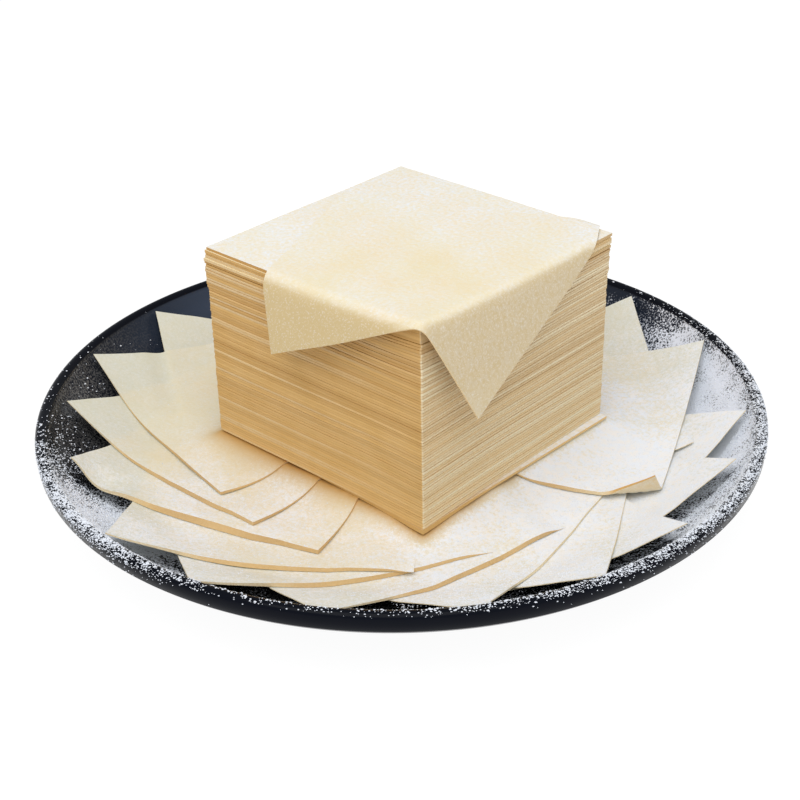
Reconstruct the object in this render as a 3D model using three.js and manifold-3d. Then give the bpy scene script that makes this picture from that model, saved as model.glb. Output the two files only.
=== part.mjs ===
// A stack of square wonton wrappers on a black plate. A fan of wrappers lies under the stack,
// a few loose ones lie on top of it, and one more is draped over its top edges.
// Millimetres, +Z up. The origin is the middle of the plate's foot, and the stack's sides run along X and Y.
import * as THREE from 'three';
import { mergeVertices } from 'three/addons/utils/BufferGeometryUtils.js';
import Module from 'manifold-3d';

const wasm = await Module();
wasm.setup();

// The wrappers
const WRAPPER_SIDE = 90;
const WRAPPER_THICKNESS = 0.45;
const DIAGONAL_HALF = WRAPPER_SIDE / Math.SQRT2;

// The plate, with heights above its foot
const PLATE_RADIUS = 119.5;
const PLATE_SEGMENTS = 72;
const RIM_HEIGHT = 28.8;
const LIP_RADIUS = 2;
const WIDEST_HEIGHT = 23.4;
const WELL_HEIGHT = 3.6;
const FOOT_RADIUS = 66;
const FOOT_WIDTH = 6;
const FOOT_DEPTH = 1.4;
const FOOT_SLANT = 1;

// The plate's underside from the foot outward, and its well from the lip inward, as radius and height
const UNDERSIDE = [[68, 3], [88, 5.4], [105, 12.6], [116, 20.2]];
const WELL = [[111, 20.6], [97, 11.2], [62, 6.6], [26, WELL_HEIGHT]];

// The stack, which stands on the fan
const STACK_X = 3.5;
const STACK_Y = 1.3;
const STACK_BASE = 18.5;
const LAYER_PITCH = 0.9;
const BLOCK_LAYERS = 67;
const LOOSE_LAYERS = 6;
const LAYER_SHIFT = 0.35;
const GROOVE_DEPTH = 0.35;
const CORNER_CUT = 1;
const TOP_FLARE = 0.7;
const BASE_TURN = -2.2;
const BASE_SHIFT = 1;

// The fan, listed from the lowest wrapper to the highest: where each outer corner points, how far it
// reaches from the plate's middle, and how far its diagonal is turned from the straight line outward
const FAN_AZIMUTHS = [37, 22, 1, -18, -37, -59, -79, -97, -121, -140, -175, 165, 144, 123, 103, 83, 62, -156];
const FAN_REACHES = [
  113, 111, 111, 114, 114, 114, 114, 114, 111, 112, 114, 113, 113, 113, 113, 114, 114, 114,
];
const FAN_TWISTS = [8, 14, 18, 2, 4, 3, 3, 0, 3, 5, 8, 1, 4, 2, 6, 10, 7, 8];
const FAN_PITCH = 0.75;
const FAN_CLEARANCE = 0.3;
const FAN_RAMP = 8;
const FAN_SAG = 4.2;
const FAN_SAG_LENGTH = 7;
const FAN_CLIMB_RADIUS = 90;
const FAN_CLIMB_SLOPE = 0.53;
const FAN_CLIMB_SOFTNESS = 5;

// The draped wrapper, placed from the stack's middle, with its two hanging flaps
const DRAPE_X = 16.6;
const DRAPE_Y = -11.8;
const DRAPE_TURN = 24.6;
const DRAPE_PROUD = 1.2;
const LEFT_BEND = { angle: 77, radius: 5.5 };
const RIGHT_BEND = { angle: 75, radius: 4.5 };

// How finely the sheets are divided: the lattice that the whole fan shares, and the cells along a side
const LATTICE_STEP = 16.2;
const LATTICE_CELLS = 17;
const FLAT_CELLS = 4;
const DRAPE_CELLS = 18;
const PLATE_CELLS = 5;

const dough = { color: 0xe9d6a4, roughness: 0.85, metalness: 0 };
const paleDough = { color: 0xf0e4c4, roughness: 0.9, metalness: 0 };
const glaze = { color: 0x14161c, roughness: 0.18, metalness: 0 };

const part = new THREE.Group();

function addPiece(name, geometry, finish) {
  const mesh = new THREE.Mesh(geometry, new THREE.MeshStandardMaterial(finish));
  mesh.name = name;
  part.add(mesh);
  return mesh;
}

function seededRandom(seed) {
  let state = seed;
  return () => {
    state = (Math.imul(state, 1664525) + 1013904223) >>> 0;
    return state / 2 ** 32;
  };
}

function indexedGeometry(positions, indices) {
  const geometry = new THREE.BufferGeometry();
  geometry.setAttribute('position', new THREE.Float32BufferAttribute(positions, 3));
  geometry.setIndex(indices);
  geometry.computeVertexNormals();
  return geometry;
}

// A thin sheet over a square grid. Each face is a function of two numbers from 0 to 1.
function sheetGeometry(cells, upperFace, lowerFace) {
  const row = cells + 1;
  const positions = [];
  for (const face of [upperFace, lowerFace]) {
    for (let j = 0; j < row; j += 1) {
      for (let i = 0; i < row; i += 1) {
        positions.push(...face(i / cells, j / cells).toArray());
      }
    }
  }
  const lower = row * row;
  const indices = [];
  for (let j = 0; j < cells; j += 1) {
    for (let i = 0; i < cells; i += 1) {
      const a = j * row + i;
      const b = a + 1;
      const c = a + row + 1;
      const d = a + row;
      indices.push(a, b, c, a, c, d);
      indices.push(lower + a, lower + c, lower + b, lower + a, lower + d, lower + c);
    }
  }
  const wall = (p, q) => indices.push(q, p, lower + p, q, lower + p, lower + q);
  for (let k = 0; k < cells; k += 1) {
    wall(k, k + 1);
    wall(k * row + cells, (k + 1) * row + cells);
    wall(cells * row + k + 1, cells * row + k);
    wall((k + 1) * row, k * row);
  }
  return indexedGeometry(positions, indices);
}

// A flat wrapper's point in the plate's plan, from its middle, its turn and its grid position
function planPoint(centre, turn, u, v) {
  const local = new THREE.Vector2((u - 0.5) * WRAPPER_SIDE, (v - 0.5) * WRAPPER_SIDE);
  return local.rotateAround(new THREE.Vector2(), turn).add(centre);
}

// The plate: a shallow well that rises to a thick rounded lip, on a foot ring
function plateGeometry() {
  const lipMiddle = new THREE.Vector2(PLATE_RADIUS - LIP_RADIUS, RIM_HEIGHT - LIP_RADIUS);
  const lipInner = new THREE.Vector2(lipMiddle.x - LIP_RADIUS, lipMiddle.y);
  const toPoint = ([radius, height]) => new THREE.Vector2(radius, height);
  const outside = new THREE.SplineCurve([
    ...UNDERSIDE.map(toPoint),
    new THREE.Vector2(PLATE_RADIUS, WIDEST_HEIGHT),
  ]);
  const inside = new THREE.SplineCurve([lipInner, ...WELL.map(toPoint)]);
  const lip = new THREE.EllipseCurve(lipMiddle.x, lipMiddle.y, LIP_RADIUS, LIP_RADIUS, 0, Math.PI);
  const profile = [
    new THREE.Vector2(0, FOOT_DEPTH),
    new THREE.Vector2(FOOT_RADIUS - FOOT_WIDTH - FOOT_SLANT, FOOT_DEPTH),
    new THREE.Vector2(FOOT_RADIUS - FOOT_WIDTH, 0),
    new THREE.Vector2(FOOT_RADIUS, 0),
    ...outside.getPoints(PLATE_CELLS),
    ...lip.getPoints(PLATE_CELLS),
    ...inside.getPoints(PLATE_CELLS + 1).slice(1),
    new THREE.Vector2(0, WELL_HEIGHT),
  ];
  return new THREE.LatheGeometry(profile, PLATE_SEGMENTS).rotateX(Math.PI / 2);
}

// The fan's wrappers in plan: each one's middle and turn
const fan = FAN_AZIMUTHS.map((azimuth, index) => {
  const outward = THREE.MathUtils.degToRad(azimuth + FAN_TWISTS[index]);
  const toCorner = THREE.MathUtils.degToRad(azimuth);
  const corner = new THREE.Vector2(Math.cos(toCorner), Math.sin(toCorner)).multiplyScalar(FAN_REACHES[index]);
  const diagonal = new THREE.Vector2(Math.cos(outward), Math.sin(outward)).multiplyScalar(DIAGONAL_HALF);
  return { centre: corner.sub(diagonal), turn: outward - Math.PI / 4 };
});

// How fully a wrapper weighs on a point: 1 on it and one lattice step round it, falling to 0 over a ramp
function coverage(wrapper, point) {
  const local = point.clone().sub(wrapper.centre).rotateAround(new THREE.Vector2(), -wrapper.turn);
  const outside = Math.max(Math.abs(local.x), Math.abs(local.y)) - WRAPPER_SIDE / 2;
  return THREE.MathUtils.clamp(1 - (outside - LATTICE_STEP) / FAN_RAMP, 0, 1);
}

// How far the fan has climbed the plate's wall: a slope with a soft start
function fanClimb(radius) {
  const past = radius - FAN_CLIMB_RADIUS;
  return FAN_CLIMB_SLOPE * 0.5 * (past + Math.hypot(past, FAN_CLIMB_SOFTNESS));
}

// The fan's upper surface: level under the stack, sagging round it, then climbing the plate's wall
function fanTop(point) {
  const beyond = new THREE.Vector2(Math.abs(point.x - STACK_X), Math.abs(point.y - STACK_Y));
  beyond.subScalar(WRAPPER_SIDE / 2).max(new THREE.Vector2());
  const sag = FAN_SAG * (1 - Math.exp(-beyond.length() / FAN_SAG_LENGTH));
  return STACK_BASE - FAN_CLEARANCE - sag + fanClimb(point.length());
}

// A fan wrapper hangs one step lower for each wrapper that lies over it
function fanHeight(index, point) {
  const over = fan.slice(index + 1).reduce((sum, wrapper) => sum + coverage(wrapper, point), 0);
  return fanTop(point) - FAN_PITCH * over;
}

// A point of the even triangular lattice that all the fan's wrappers share, so that none cuts the next
function latticePoint(u, v) {
  const side = LATTICE_CELLS * LATTICE_STEP;
  const across = (v - 0.5) * side;
  return new THREE.Vector2((u - 0.5) * side - across / 2, across * Math.sqrt(3) / 2);
}

function toSolid(geometry) {
  const bare = geometry.clone();
  bare.deleteAttribute('normal');
  bare.deleteAttribute('uv');
  const merged = mergeVertices(bare);
  const vertProperties = new Float32Array(merged.attributes.position.array);
  const triVerts = new Uint32Array(merged.index.array);
  return new wasm.Manifold(new wasm.Mesh({ numProp: 3, vertProperties, triVerts }));
}

// A fan wrapper is a wide sheet at its heights, cut to its square
function fanWrapperGeometry(index) {
  const { centre, turn } = fan[index];
  const face = (drop) => (u, v) => {
    const point = latticePoint(u, v);
    return new THREE.Vector3(point.x, point.y, fanHeight(index, point) - drop);
  };
  const sheet = sheetGeometry(LATTICE_CELLS, face(0), face(WRAPPER_THICKNESS));
  const square = new THREE.BoxGeometry(WRAPPER_SIDE, WRAPPER_SIDE, 4 * RIM_HEIGHT);
  square.rotateZ(turn).translate(centre.x, centre.y, 0);
  const cut = toSolid(sheet).intersect(toSolid(square)).getMesh();
  return indexedGeometry(Array.from(cut.vertProperties), Array.from(cut.triVerts));
}

function flatWrapperGeometry(centre, turn, bottom) {
  const face = (height) => (u, v) => {
    const point = planPoint(centre, turn, u, v);
    return new THREE.Vector3(point.x, point.y, height);
  };
  return sheetGeometry(FLAT_CELLS, face(bottom + WRAPPER_THICKNESS), face(bottom));
}

// One ring of the stack's outline: a square with cut corners
function outlineRing(half, x, y, height) {
  const ring = [];
  for (let side = 0; side < 4; side += 1) {
    for (const along of [CORNER_CUT - half, half - CORNER_CUT]) {
      const point = new THREE.Vector2(along, -half).rotateAround(new THREE.Vector2(), side * Math.PI / 2);
      ring.push(new THREE.Vector3(point.x + x, point.y + y, height));
    }
  }
  return ring;
}

// A solid through a pile of rings, closed at both ends
function loftGeometry(rings) {
  const count = rings[0].length;
  const positions = rings.flat().flatMap((point) => point.toArray());
  const last = (rings.length - 1) * count;
  const indices = [];
  for (let level = 0; level + 1 < rings.length; level += 1) {
    for (let k = 0; k < count; k += 1) {
      const a = level * count + k;
      const b = level * count + (k + 1) % count;
      indices.push(a, b, b + count, a, b + count, a + count);
    }
  }
  for (let k = 1; k + 1 < count; k += 1) {
    indices.push(0, k + 1, k);
    indices.push(last, last + k, last + k + 1);
  }
  return indexedGeometry(positions, indices);
}

// The pressed body of the stack, with a groove between each wrapper and the next
function stackBlockGeometry(bottom) {
  const random = seededRandom(11);
  const rings = [];
  for (let layer = 0; layer < BLOCK_LAYERS; layer += 1) {
    const flare = TOP_FLARE * (layer / BLOCK_LAYERS) ** 3;
    const half = WRAPPER_SIDE / 2 - GROOVE_DEPTH + flare;
    const x = STACK_X + (random() - 0.5) * LAYER_SHIFT;
    const y = STACK_Y + (random() - 0.5) * LAYER_SHIFT;
    const height = bottom + layer * LAYER_PITCH;
    rings.push(outlineRing(half, STACK_X, STACK_Y, height));
    rings.push(outlineRing(half + GROOVE_DEPTH, x, y, height + LAYER_PITCH / 2));
  }
  const top = bottom + BLOCK_LAYERS * LAYER_PITCH - FAN_CLEARANCE;
  rings.push(outlineRing(WRAPPER_SIDE / 2, STACK_X, STACK_Y, top));
  return loftGeometry(rings);
}

// How far a strip reaches out and down once it has bent over an edge
function bendOver(length, bend) {
  const angle = THREE.MathUtils.degToRad(bend.angle);
  const turned = Math.min(Math.max(length, 0) / bend.radius, angle);
  const straight = Math.max(length - bend.radius * angle, 0);
  return {
    out: bend.radius * Math.sin(turned) + straight * Math.cos(angle),
    down: bend.radius * (1 - Math.cos(turned)) + straight * Math.sin(angle),
  };
}

// The draped wrapper's middle surface, and the same surface moved along its own upright
function drapeGeometry(bottom) {
  const turn = THREE.MathUtils.degToRad(DRAPE_TURN);
  const edge = WRAPPER_SIDE / 2 + DRAPE_PROUD;
  const surface = (u, v) => {
    const flat = planPoint(new THREE.Vector2(DRAPE_X, DRAPE_Y), turn, u, v);
    const right = bendOver(flat.x - edge, RIGHT_BEND);
    const left = bendOver(-edge - flat.y, LEFT_BEND);
    return new THREE.Vector3(
      STACK_X + Math.min(flat.x, edge) + right.out,
      STACK_Y + Math.max(flat.y, -edge) - left.out,
      bottom - right.down - left.down,
    );
  };
  const step = 0.01;
  const offset = (distance) => (u, v) => {
    const alongU = surface(u + step, v).sub(surface(u - step, v));
    const alongV = surface(u, v + step).sub(surface(u, v - step));
    const upright = alongU.cross(alongV).normalize();
    return surface(u, v).addScaledVector(upright, distance);
  };
  return sheetGeometry(DRAPE_CELLS, offset(WRAPPER_THICKNESS), offset(0));
}

addPiece('plate', plateGeometry(), glaze);

fan.forEach((wrapper, index) => {
  addPiece(`fan_wrapper_${String(index + 1).padStart(2, '0')}`, fanWrapperGeometry(index), paleDough);
});

const baseCentre = new THREE.Vector2(STACK_X + BASE_SHIFT, STACK_Y);
const baseTurn = THREE.MathUtils.degToRad(BASE_TURN);
addPiece('base_wrapper', flatWrapperGeometry(baseCentre, baseTurn, STACK_BASE), paleDough);

const blockBottom = STACK_BASE + LAYER_PITCH;
addPiece('wrapper_stack', stackBlockGeometry(blockBottom), dough);

const looseRandom = seededRandom(5);
const looseBottom = blockBottom + BLOCK_LAYERS * LAYER_PITCH;
for (let layer = 0; layer < LOOSE_LAYERS; layer += 1) {
  const centre = new THREE.Vector2(STACK_X + looseRandom() - 0.5, STACK_Y + looseRandom() - 0.5);
  const turn = THREE.MathUtils.degToRad(looseRandom() - 0.5);
  const bottom = looseBottom + layer * LAYER_PITCH;
  addPiece(`loose_wrapper_${layer + 1}`, flatWrapperGeometry(centre, turn, bottom), dough);
}

addPiece('draped_wrapper', drapeGeometry(looseBottom + LOOSE_LAYERS * LAYER_PITCH), dough);

export default part;
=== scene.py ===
import math

import bpy
import numpy as np
from mathutils import Matrix, Vector


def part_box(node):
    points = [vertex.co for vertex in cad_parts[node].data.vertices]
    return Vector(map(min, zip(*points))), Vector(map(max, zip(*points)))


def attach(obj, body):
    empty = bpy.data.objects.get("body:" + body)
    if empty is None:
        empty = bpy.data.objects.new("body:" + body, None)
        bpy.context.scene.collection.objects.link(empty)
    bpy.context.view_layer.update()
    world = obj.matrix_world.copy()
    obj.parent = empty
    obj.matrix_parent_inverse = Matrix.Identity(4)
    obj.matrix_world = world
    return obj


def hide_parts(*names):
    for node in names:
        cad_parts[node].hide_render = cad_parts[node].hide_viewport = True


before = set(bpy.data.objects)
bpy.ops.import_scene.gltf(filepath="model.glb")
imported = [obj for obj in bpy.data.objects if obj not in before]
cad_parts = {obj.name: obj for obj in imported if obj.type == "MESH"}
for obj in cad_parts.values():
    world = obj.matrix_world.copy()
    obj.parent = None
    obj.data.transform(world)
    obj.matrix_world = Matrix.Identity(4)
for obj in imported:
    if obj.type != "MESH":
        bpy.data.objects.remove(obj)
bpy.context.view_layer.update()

MM = 0.001


def box_mm(node):
    """A solid's lowest and highest corner, in millimetres."""
    low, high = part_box(node)
    return np.array(low) / MM, np.array(high) / MM


# The wrappers: their side, half of it, how thick a single one is, and the angle in degrees from which an
# edge stays crisp
WRAPPER_SIDE = 90.0
HALF = WRAPPER_SIDE / 2
SHEET = 0.62
CRISP_ANGLE = 40

# The plate, with heights above its foot
PLATE_RADIUS = (box_mm("plate")[1][0] - box_mm("plate")[0][0]) / 2
RIM_HEIGHT = box_mm("plate")[1][2]
LIP_RADIUS = 2.0
WIDEST_HEIGHT = 23.4
WELL_HEIGHT = 3.6
FOOT_RADIUS = 66.0
FOOT_WIDTH = 6.0
FOOT_DEPTH = 1.4
UNDERSIDE = [(68, 3), (88, 5.4), (105, 12.6), (116, 20.2), (PLATE_RADIUS, WIDEST_HEIGHT)]
WELL = [(111, 20.6), (97, 11.2), (62, 6.6), (26, WELL_HEIGHT), (0, WELL_HEIGHT)]
PLATE_SEGMENTS = 288

# The stack: a base wrapper, a block of pressed layers and a few loose ones
STACK_X = 3.5
STACK_Y = 1.3
STACK_BASE = box_mm("base_wrapper")[0][2]
BLOCK_BOTTOM, BLOCK_TOP = box_mm("wrapper_stack")[0][2], box_mm("wrapper_stack")[1][2]
BLOCK_LAYERS = 67
LOOSE_LAYERS = 6
LOOSE_BOTTOM = box_mm("loose_wrapper_1")[0][2]
LOOSE_PITCH = box_mm("loose_wrapper_2")[0][2] - LOOSE_BOTTOM
LOOSE_TURN = 0.4
LOOSE_SLIP = 0.1
LOOSE_WAVE = 0.07
BASE_TURN = -1.6
BASE_SHIFT = 1.3
BASE_BACK = 1.0
CORNER_RADIUS = 0.5
LAYER_GAP = 0.02
BASE_CELLS = 40
STACK_CELLS = 24
LOOSE_CELLS = 48

# The stack's front corner: how far it stands up at the top and hangs down at the foot, how far from the
# corner each one reaches, and how much of the lower one the layers follow
CORNER_RISE = 1.6
CORNER_RISE_REACH = 22.0
CORNER_DROOP = 1.3
CORNER_DROOP_REACH = 16.0
FOOT_SHARE = 0.4

# How uneven the layers are: their heights, outlines and places, with more at the top, and their grooves.
# The rises are the places up a layer's edge that have a ring of points.
LAYER_DRIFT = 0.09
LAYER_WOBBLE = 0.04
LAYER_SHIFT = 0.05
LOOSE_SHIFT = 0.12
GROOVE_DEPTHS = (0.04, 0.14)
LAYER_RISES = (0.0, 0.14, 0.5, 0.84, 1.0)

# The looser part at the top of the stack, its pale layers, its dark layers just under the overhang, which
# hold painted shadow, and the pale stripes by the front corner, counted in layers from the top
SPREAD_LAYERS = 10
SPREAD = 0.38
PALE_LAYERS = [4, 5, 8, 9, 12, 13, 19, 21]
OVERHANG_SHADOW_LAYERS = [15, 16]
BANDED_LAYERS = 16
CORNER_STRIPES = range(15, 27, 2)

# How dark the layers' edges are: toward the top, partly painted shade from the draped flap, from layer to
# layer, in the line between two layers, in a layer under the overhang, with painted shadow, and at the far
# end of the right side, with painted shade. The right side is lighter in the low layers.
TOP_TONE_AND_SHADE = 0.57
LAYER_TONE = 0.11
END_TONE = 0.3
OVERHANG_SHADOW_TONE = 0.2
FAR_SHADE_PAINT = 0.3
LOW_LAYERS = (0.1 * BLOCK_LAYERS, 0.5 * BLOCK_LAYERS)

# How pale they are: in a pale layer, in a stripe, in the thin line on a layer, and in the lower layers that
# chance picks, with how often it does
PALE_LINE = 0.38
STRIPE = 0.5
THIN_LINE = 0.16
LOW_PALE_LINE = 0.28
LOW_PALE_SHARE = 0.2

# Flour on the stack's right side, left side and back, a painted highlight down its upright edges, how the
# flour varies by layer, how much there is at the top and how much more at the foot, and flour on the faces
# of the top wrapper and the loose ones
RIGHT_FLOUR = 0.56
LEFT_FLOUR = 0.03
BACK_FLOUR = 0.1
UPRIGHT_HIGHLIGHT_PAINT = 0.3
LAYER_FLOUR = (0.65, 1.3)
TOP_FLOUR = 0.5
FOOT_FLOUR = 0.22
TOP_DUST = 0.58
LOOSE_DUST = 0.1

# The fan, listed from the lowest wrapper to the highest: where each outer corner points, how far it
# reaches, and how far its diagonal is turned from the straight line outward
FAN_AZIMUTHS = [37, 22, 1, -18, -37, -59, -79, -97, -121, -140, -175, 165, 144, 123, 103, 83, 62, -156]
FAN_REACHES = [113, 111, 111, 114, 114, 114, 114, 114, 111, 112, 114, 113, 113, 113, 113, 114, 114, 114]
FAN_TWISTS = [8, 14, 18, 2, 4, 3, 3, 0, 3, 5, 8, 1, 4, 2, 6, 10, 7, 8]
FAN_PITCH = 0.75
FAN_CLEARANCE = 0.1
FAN_MARGIN = 2.0
FAN_RAMP = 10.0
FAN_SAG = 4.2
FAN_SAG_LENGTH = 7.0
FAN_CLIMB_RADIUS = 90.0
FAN_CLIMB_SLOPE = 0.53
FAN_CLIMB_SOFTNESS = 5.0
FAN_DROOP = 2.3
FAN_DROOP_RADII = (92, 114)
FAN_RIPPLE = 0.16
FAN_TIP_SHARE = 0.4
GLOW_REACH = 4.8
FAN_CELLS = 60

# How far each fan wrapper's free edge stands up, and where along it, from 0 at the outer corner to 1. It
# reaches some way in from the edge, and grows over a distance from the stack.
FAN_LIFTS = [0.2, 0.2, 0.2, 0.2, 0.3, 1.2, 1.0, 0.9, 2.0, 1.0, 0.1, 0.1, 0.1, 0.1, 0.1, 0.2, 1.0, 0.5]
FAN_LIFT_PLACES = [0.5, 0.5, 0.5, 0.5, 0.5, 0.7, 0.5, 0.5, 0.6, 0.7, 0.5, 0.5, 0.5, 0.5, 0.5, 0.5, 0.4, 0.8]
FAN_LIFT_WIDTH = 0.4
FAN_LIFT_REACH = 11.0
FAN_LIFT_GROWTH = 14.0

# Corners of low fan wrappers that are tucked in under the ones above, by wrapper
FAN_TUCKS = {1: 6.0, 2: 8.0}

# The lowest fan wrappers, whose edges are floured, and those whose inner side lies flush with the next one
FLOURED_WRAPPERS = range(5)
FLUSH_WRAPPERS = range(5, 8)
FLUSH_WIDTH = 9.0
FLUSH_DROP = 0.66
# Painted shade that darkens the fan wrappers' cut edges, and how pale the edges are at least
FAN_EDGE_SHADE_PAINT = 0.42
FAN_EDGE_PALE = 0.25

# The fan wrapper whose outer corner leans on the plate's wall, with its side hanging down next to it
LEANING = 8
LEAN_RISE = 2.4
LEAN_PULL = 1.6
LEAN_REACH = 8.0
HANG_DEPTH = 3.4
HANG_PLACE = 0.12
HANG_WIDTH = 0.1
HANG_REACH = 9.0

# The fan wrapper that dips beside the edge of one that lies under it: how deep, how far from that edge the
# dip begins and ends, and the radii over which it grows
DIPPING = 17
UNDER_DIP = 10
DIP_DEPTH = 0.8
DIP_BEGINS = (-1.2, 1.2)
DIP_ENDS = (2, 9)
DIP_RADII = (66, 90)

# The fan wrapper with a corner that curls up: how far along its two sides, and the bend
CURLED = 16
CURL_LONG = 19.0
CURL_SHORT = 8.0
CURL_BEND = {"angle": 80, "radius": 1.6}

# The draped wrapper, placed from the stack's middle, with its two hanging flaps and its back corner. The
# right flap's tip is drawn out a little, and the back corner is drawn in.
SOLID_THICKNESS = 0.45
DRAPE_BOTTOM = box_mm("draped_wrapper")[1][2] - SOLID_THICKNESS
DRAPE_X = 17.9
DRAPE_Y = -10.05
DRAPE_TURN = 23.3
DRAPE_PROUD = -0.9
DRAPE_LIFT = 0.6
LEFT_BEND = {"angle": 72, "radius": 6.0}
RIGHT_BEND = {"angle": 73, "radius": 4.2}
BACK_BEND = {"angle": 60, "radius": 5.0}
TIP_PULL = 0.7
BACK_PULL = 3.5
DRAPE_WAVE = 0.12
DRAPE_SHARE = 0.8
DRAPE_CELLS = 100

# Flour on the draped wrapper: on all of it, on its right flap, on its level part, and more by the back edge.
# Its flaps are in the shade, less so toward the right one's tip, between two depths below the top.
DRAPE_DUST = 0.03
FLAP_DUST = 0.12
LEVEL_DUST = 0.28
BACK_DUST = 0.26
FLAP_SHADE = 0.93
TIP_LIGHT = 0.25
TIP_DEPTHS = (14, 34)

# Linear colours of the dough: a wrapper's bare face and its variations, the same over a dark plate,
# in the shade of a flap, its cut edge with its pale lines and its dark ones, also used for painted shade,
# and the painted golden light and shade beside the stack
BARE_DOUGH = (0.86, 0.73, 0.43)
RICH_DOUGH = (0.87, 0.70, 0.39)
PALE_DOUGH = (0.92, 0.86, 0.66)
THIN_DOUGH = (0.62, 0.64, 0.53)
FLAP_DOUGH = (0.585, 0.44, 0.217)
CUT_DOUGH = (0.76, 0.475, 0.17)
CUT_LIGHT = (0.80, 0.52, 0.21)
CUT_DARK_AND_SHADE = (0.47, 0.25, 0.07)
CUT_PALE = (0.86, 0.75, 0.52)
WARM_SHADE_DOUGH = (0.57, 0.32, 0.09)

# Linear colours of the flour and of the plate's glaze, with a painted reflection of the sky that makes it
# bluer at the back
FLOUR = (0.87, 0.90, 0.95)
WARM_FLOUR = (0.91, 0.89, 0.87)
FLOUR_SHADE = (0.76, 0.80, 0.88)
FLOUR_FILM = (0.84, 0.88, 0.98)
GLAZE = (0.004, 0.005, 0.009)
SKY_REFLECTION_GLAZE = (0.050, 0.068, 0.108)
HAZY_GLAZE = (0.17, 0.165, 0.16)

# Hills round the plate, each with its direction, width and height: the film of flour and the grains on the
# plate, the grains on its lip, the flour on the fan, the glaze's painted sky reflection and its haze, where
# the fan droops, where the stack's painted golden light and shade reaches farthest, where it is weaker, and
# the least flour anywhere on the fan
FILM_HILLS = [(47, 35, 1.2), (-12, 24, 0.5), (-60, 18, 0.3), (-103, 20, 0.9)]
RIGHT_GRAIN_HILLS = [(28, 28, 0.9), (-12, 22, 0.7), (-55, 20, 0.06)]
LEFT_GRAIN_HILLS = [(-101, 18, 1.0), (-145, 20, 0.015)]
LIP_HILLS = [(-104, 16, 1.0), (8, 22, 0.4)]
FAN_DUST_HILLS = [(14, 48, 1.0), (-42, 20, 0.28), (-96, 26, 0.42)]
SKY_REFLECTION_HILLS = [(160, 30, 1.0), (85, 25, 0.3)]
HAZE_HILLS = [(-146, 17, 0.9), (-58, 20, 0.7)]
DROOP_HILL = (-58, 48, 1.0)
GLOW_HILL = (-115, 45, 0.6)
WEAKER_GLOW_HILL = (35, 50, 0.7)
LEAST_FAN_DUST = 0.2

# Radii over which the film of flour grows and then thins out by the lip, and between which grains are tried
FILM_GROWS = (60, 90)
FILM_THINS = (110, 116)
PLATE_GRAIN_RADII = (62, PLATE_RADIUS - 0.2)
FAN_GRAIN_RADII = (46, 113)

# Flour grains: how many places are tried on the plate, the fan and the lip, the most in one piece, the
# direction where the plate's left and right pieces meet, and the directions between which the lip has any
PLATE_POINTS = 500000
FAN_POINTS = 160000
LIP_POINTS = 20000
MOST_GRAINS = 24000
SIDES_MEET = -40
LIP_SWEEP = (-170, 70)

# Grain radii: the usual one, how much they vary, the smallest and the largest. Grains are a little flat.
LEFT_GRAINS = (0.23, 0.4, 0.09, 0.5)
RIGHT_GRAINS = (0.19, 0.4, 0.09, 0.5)
FAN_GRAINS = (0.12, 0.35, 0.06, 0.3)
LIP_GRAINS = (0.2, 0.4, 0.1, 0.45)
GRAIN_FLATNESS = 0.55

# What a sheet's materials read at each point: flour, flecks of it, how much the dark plate shows through,
# a flap's painted shade, painted golden light and shade from the stack, and a cut edge's dark share, partly
# painted shade, and its pale share
SHEET_VALUES = ("dust", "fleck", "thin", "shade", "painted_warm_shade", "tone", "rim")
UNDERSIDE_FLOUR = 0.15

# The stage in metres: a pale floor that glows, one large lamp and an even sky
FLOOR_HALF = 60.0
FLOOR_LEVEL = -0.0001
FLOOR_COLOUR = (0.12, 0.12, 0.12, 1)
FLOOR_GLOW = 0.95
LAMP_PLACE = (0.3, -0.46, 0.98)
LAMP_AIM = (0, 0, 0.05)
LAMP_SIZE = 1.1
LAMP_WATTS = 7.2
LAMP_COLOUR = (1.0, 0.99, 0.97)
SKY_COLOUR = (0.96, 0.985, 1.02, 1)
SKY_STRENGTH = 0.6

# The camera, from the fit of the stack's corners and the plate's rim to the picture
CAMERA_PLACE = (306.66, -332.27, 283.77)
CAMERA_RIGHT = (0.7415, 0.6707, -0.0185)
CAMERA_UP = (-0.3197, 0.3774, 0.8691)
CAMERA_BACK = (0.5899, -0.6386, 0.4942)
CAMERA_LENS = 70.38
CAMERA_SENSOR = 36
CAMERA_NEAREST = 0.01

SEED = 7
random = np.random.default_rng(SEED)


# Small helpers

def smoothstep(value, low, high):
    """A smooth rise from 0 to 1 between two values."""
    share = np.clip((value - low) / (high - low), 0, 1)
    return share * share * (3 - 2 * share)


def bump(value, middle, width):
    """A smooth hill over an angle or a length."""
    return np.exp(-((value - middle) / width) ** 2)


def turn_gap(angle, middle):
    """How far an angle is from another, in degrees either way round."""
    return (angle - middle + 180) % 360 - 180


def rotate(x, y, degrees):
    """Points of the plan turned about its origin."""
    angle = math.radians(degrees)
    return x * math.cos(angle) - y * math.sin(angle), x * math.sin(angle) + y * math.cos(angle)


def wave_field(count, shortest, longest):
    """A smooth random field over the plan, mostly between -1 and 1."""
    ways = random.uniform(0, 2 * math.pi, count)
    lengths = random.uniform(shortest, longest, count)
    phases = random.uniform(0, 2 * math.pi, count)

    def field(x, y):
        total = np.zeros(np.shape(x))
        for way, length, phase in zip(ways, lengths, phases):
            total += np.sin((x * math.cos(way) + y * math.sin(way)) * 2 * math.pi / length + phase)
        return total / math.sqrt(count)

    return field


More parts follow.
